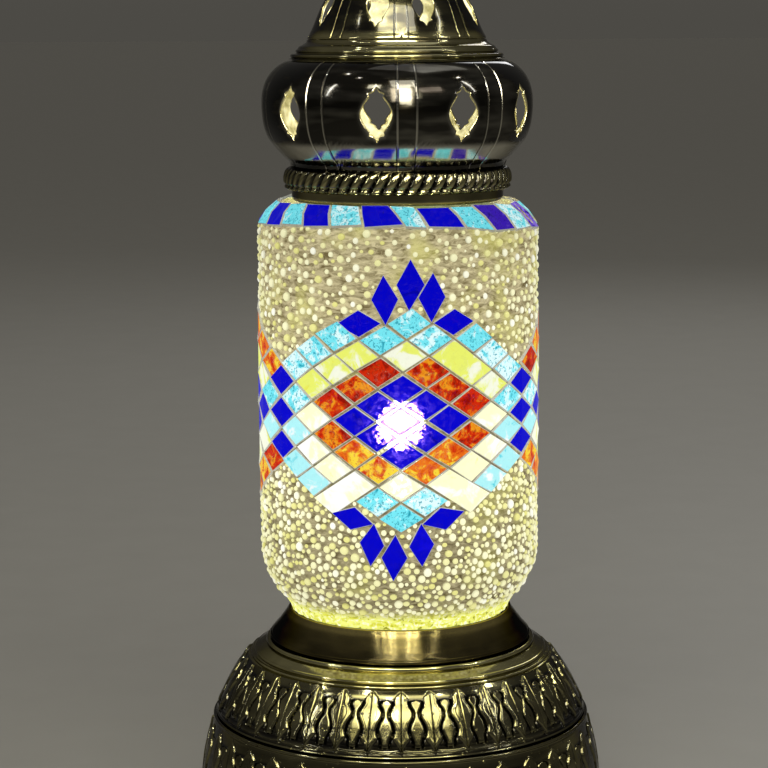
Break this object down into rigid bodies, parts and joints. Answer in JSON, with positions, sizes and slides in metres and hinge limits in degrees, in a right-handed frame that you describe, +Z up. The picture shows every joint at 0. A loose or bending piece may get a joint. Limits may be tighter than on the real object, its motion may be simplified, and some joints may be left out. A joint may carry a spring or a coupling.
{
  "type": "table lamp",
  "caption": "Mosaic glass pillar table lamp on a fluted two-tier bronze base, with a lift-off pierced bronze cap, turned finial and screw-in globe bulb.",
  "frame": {"origin": "centre of the foot, on the surface the lamp stands on", "axes": "+Z up along the lamp's axis; -Y is the front, where the medallion in the picture faces; +X is the viewer's right"},
  "size_m": [0.166, 0.166, 0.395],
  "materials": {
    "antique_bronze": "dark antique bronze, spun and lacquered, satin gloss",
    "brushed_bronze": "lathe-brushed antique bronze, satin",
    "zinc_steel": "zinc plated",
    "cast_iron": "black",
    "felt": "black felt",
    "rubber": "matt black",
    "holder_plastic": "ivory",
    "contact_brass": "bright",
    "clear_glass": "clear, blown",
    "bead_grout": "translucent cream grout set with glass beads",
    "ring_tile": "cobalt and turquoise glass tiles, cut edges",
    "mosaic_tile": "cobalt, turquoise, yellow and orange-red glass tiles",
    "petal_tile": "cobalt glass",
    "opal_glass": "opal",
    "lamp_cap_metal": "bright thread"
  },
  "bodies": {
    "stand": {"foot_pad": "felt", "bottom_plate": "zinc_steel", "tube_nut_bottom": "zinc_steel", "tube_washer_bottom": "zinc_steel", "stem_tube": "zinc_steel", "ballast_weight": "cast_iron", "base_skirt": "antique_bronze", "base_dome": "antique_bronze", "base_collar": "brushed_bronze", "glass_seat": "zinc_steel", "tube_washer_top": "zinc_steel", "tube_nut_top": "zinc_steel", "glass_gasket": "felt", "cord_grommet": "rubber", "holder_cup": "holder_plastic", "holder_shell": "holder_plastic", "holder_core": "holder_plastic", "thread_sleeve": "contact_brass", "centre_contact": "contact_brass", "glass_pillar": "clear_glass", "grout_coat": "bead_grout", "shoulder_tile_ring": "ring_tile", "medallion_front": "mosaic_tile", "petal_front_top_1": "petal_tile", "petal_front_top_2": "petal_tile", "petal_front_top_3": "petal_tile", "petal_front_bottom_1": "petal_tile", "petal_front_bottom_2": "petal_tile", "petal_front_bottom_3": "petal_tile", "medallion_left": "mosaic_tile", "petal_left_top_1": "petal_tile", "petal_left_top_2": "petal_tile", "petal_left_top_3": "petal_tile", "petal_left_bottom_1": "petal_tile", "petal_left_bottom_2": "petal_tile", "petal_left_bottom_3": "petal_tile", "medallion_right": "mosaic_tile", "petal_right_top_1": "petal_tile", "petal_right_top_2": "petal_tile", "petal_right_top_3": "petal_tile", "petal_right_bottom_1": "petal_tile", "petal_right_bottom_2": "petal_tile", "petal_right_bottom_3": "petal_tile"},
    "cap": {"cap_collar": "antique_bronze", "rope_ring": "antique_bronze", "cap_drum": "antique_bronze", "cap_ledge": "antique_bronze", "cap_crown": "antique_bronze", "stud_nut": "zinc_steel", "finial_stud": "zinc_steel"},
    "finial": {"finial_cup": "brushed_bronze", "finial_spire": "brushed_bronze"},
    "bulb": {"bulb_globe": "opal_glass", "bulb_stem": "opal_glass", "bulb_screw_cap": "lamp_cap_metal", "bulb_contact": "contact_brass"}
  },
  "joints": [
    {"name": "cap_lift", "type": "slide", "parent": "stand", "child": "cap", "axis": [0, 0, 1], "range_m": [0, 0.05]},
    {"name": "finial_turn", "type": "hinge", "parent": "cap", "child": "finial", "pos_m": [0, 0, 0.3462], "axis": [0, 0, 1], "continuous": true},
    {"name": "bulb_out", "type": "slide", "parent": "stand", "child": "bulb", "axis": [0, 0, 1], "range_m": [0, 0.05]}
  ]
}
